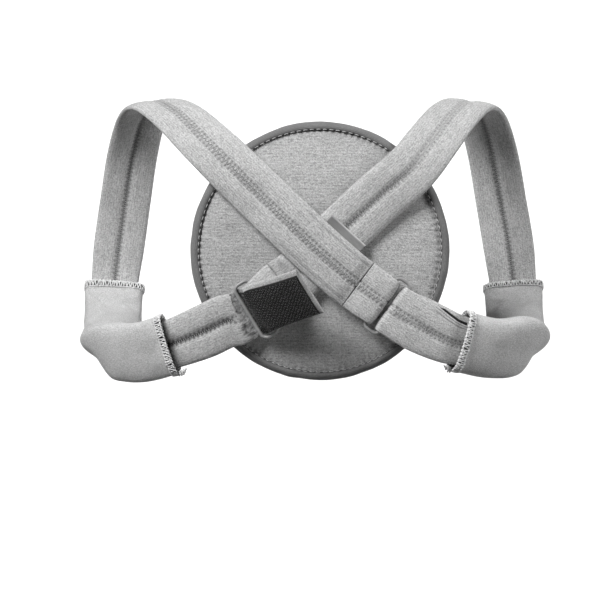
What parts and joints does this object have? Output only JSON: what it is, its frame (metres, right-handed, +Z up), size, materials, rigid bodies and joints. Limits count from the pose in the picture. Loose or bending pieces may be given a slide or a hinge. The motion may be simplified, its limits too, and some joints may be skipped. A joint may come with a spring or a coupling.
{
  "type": "clavicle brace",
  "caption": "Worn figure-of-eight clavicle brace: padded shoulder straps crossing on a round back pad, underarm sleeves and ring fastenings with hook tails, one of them open.",
  "frame": {"origin": "middle of the back pad's inner face, where it lies on the wearer's back", "axes": "+X to the wearer's right, +Y the way the wearer faces, +Z up"},
  "size_m": [0.3643, 0.1878, 0.2177],
  "materials": {
    "pad_cloth": "brushed loop cloth over foam",
    "edge_tape": "dark knit binding tape",
    "strap_cloth": "brushed loop cloth over foam",
    "sleeve_knit": "smooth jersey over foam",
    "ring_plastic": "satin moulding",
    "hook_tape": "fields of small nylon hooks",
    "label_tape": "plain woven tape"
  },
  "bodies": {
    "root": {"back_pad": "pad_cloth", "pad_binding": "edge_tape", "strap_left": "strap_cloth", "strap_right": "strap_cloth", "sleeve_left": "sleeve_knit", "sleeve_right": "sleeve_knit", "ring_left": "ring_plastic", "ring_right": "ring_plastic", "hook_patch_left": "hook_tape", "hook_patch_right": "hook_tape", "label_tab": "label_tape"}
  },
  "joints": []
}
